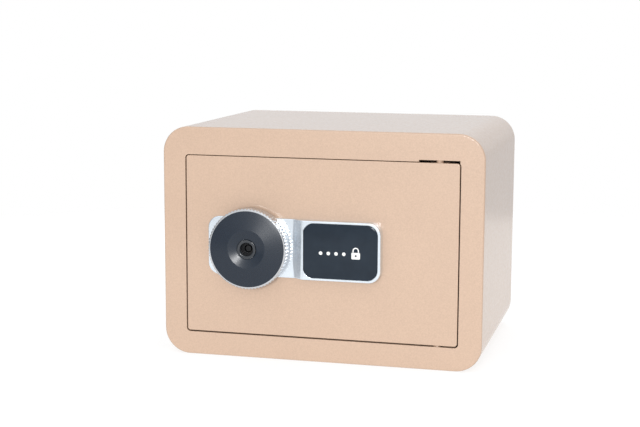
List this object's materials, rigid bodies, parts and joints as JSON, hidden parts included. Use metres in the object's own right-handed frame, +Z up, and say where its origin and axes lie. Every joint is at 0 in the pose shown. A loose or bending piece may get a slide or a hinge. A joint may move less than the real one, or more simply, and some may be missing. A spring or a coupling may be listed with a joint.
{
  "type": "in-room safe",
  "caption": "Small hotel-room electronic safe: rounded steel cabinet, flush swing door, touch panel and a turning knob that throws locking bolts.",
  "frame": {"origin": "middle of the base, on the surface the safe stands on", "axes": "+X to the right seen from the front, +Y from the door to the rear, +Z up"},
  "size_m": [0.35, 0.2722, 0.25],
  "materials": {
    "cabinet_paint": "peach powder coat, fine orange peel, satin gloss",
    "zinc_steel": "zinc plated",
    "bolt_steel": "bright plated",
    "sintered_bronze": "oil-filled bronze",
    "carpet_felt": "needle felt",
    "cover_plastic": "fine grain",
    "satin_silver": "satin silver plating",
    "rim_silver": "bright silver plating",
    "panel_black": "polished black",
    "board_green": "solder mask",
    "ribbon_grey": "flat cable",
    "nylon_white": "nylon",
    "parts_black": "moulded",
    "lock_black": "black finish",
    "coil_copper": "enamelled copper winding",
    "lead_red": "wire sleeve",
    "cell_label": "printed sleeve",
    "face_black": "fine grained satin slate black",
    "trim_grey": "polished edge",
    "button_red": "moulded"
  },
  "bodies": {
    "cabinet": {"cabinet_shell": "cabinet_paint", "front_frame": "cabinet_paint", "back_panel": "cabinet_paint", "door_jamb": "cabinet_paint", "bolt_keeper": "zinc_steel", "upper_hinge_lug": "cabinet_paint", "lower_hinge_lug": "cabinet_paint", "hinge_bushes": "sintered_bronze", "floor_carpet": "carpet_felt"},
    "door": {"door_plate": "cabinet_paint", "door_pan": "cabinet_paint", "inner_cover": "cover_plastic", "cover_screws": "zinc_steel", "hinge_blocks": "cabinet_paint", "hinge_pins": "zinc_steel", "hinge_spacers": "cabinet_paint", "escutcheon": "satin_silver", "escutcheon_nuts": "zinc_steel", "touch_panel": "panel_black", "keypad_board": "board_green", "keypad_ribbon": "ribbon_grey", "control_board": "board_green", "board_standoffs": "nylon_white", "board_parts": "parts_black", "reset_switch": "parts_black", "spindle_bush": "sintered_bronze", "guide_posts": "zinc_steel", "cylinder_bracket": "zinc_steel", "bracket_screws": "zinc_steel", "lock_cylinder": "lock_black", "cylinder_nut": "zinc_steel", "bolt_bushes": "sintered_bronze", "solenoid_frame": "zinc_steel", "solenoid_coil": "coil_copper", "solenoid_lead": "lead_red", "plunger_spring": "zinc_steel", "battery_tray": "parts_black", "battery_contacts": "zinc_steel", "battery_cells": "cell_label", "battery_lead": "lead_red"},
    "knob": {"knob_rim": "rim_silver", "knob_core": "parts_black", "knob_face": "face_black", "knob_trim_ring": "trim_grey", "knob_spindle": "zinc_steel", "knob_grub_screw": "zinc_steel", "spindle_circlip": "zinc_steel", "cam_disc": "zinc_steel", "crank_pin": "sintered_bronze"},
    "bolt_work": {"bolt_carriage": "zinc_steel", "locking_bolts": "bolt_steel", "bolt_screws": "zinc_steel"},
    "key_plug": {"key_plug": "lock_black", "tail_cam": "zinc_steel", "tail_screw": "zinc_steel"},
    "plunger": {"solenoid_plunger": "zinc_steel", "release_link": "zinc_steel"},
    "reset_button": {"reset_button": "button_red"},
    "battery_lid": {"battery_lid": "cover_plastic"}
  },
  "joints": [
    {"name": "door_swing", "type": "hinge", "parent": "cabinet", "child": "door", "pos_m": [0.127, -0.119, 0.1225], "axis": [0, 0, 1], "range_deg": [0, 110]},
    {"name": "knob_turn", "type": "hinge", "parent": "door", "child": "knob", "pos_m": [-0.075, -0.125, 0.1225], "axis": [0, -1, 0], "range_deg": [0, 60]},
    {"name": "bolt_slide", "type": "slide", "parent": "door", "child": "bolt_work", "axis": [-1, 0, 0], "range_m": [0, 0.016]},
    {"name": "key_turn", "type": "hinge", "parent": "door", "child": "key_plug", "pos_m": [-0.075, -0.125, 0.1225], "axis": [0, 1, 0], "range_deg": [0, 90]},
    {"name": "plunger_slide", "type": "slide", "parent": "door", "child": "plunger", "axis": [0, 0, -1], "range_m": [0, 0.005], "deforming": ["plunger_spring"]},
    {"name": "reset_press", "type": "slide", "parent": "door", "child": "reset_button", "axis": [0, -1, 0], "range_m": [0, 0.002], "stiffness_N_per_m": 400},
    {"name": "battery_lid_swing", "type": "hinge", "parent": "door", "child": "battery_lid", "pos_m": [0.049, -0.0926, 0.0574], "axis": [-1, 0, 0], "range_deg": [0, 95]}
  ],
  "couplings": [
    {"joint": "bolt_slide", "follows": "knob_turn", "m_per_rad": 0.01525},
    {"joint": "plunger_slide", "follows": "key_turn", "m_per_rad": 0.00318}
  ]
}
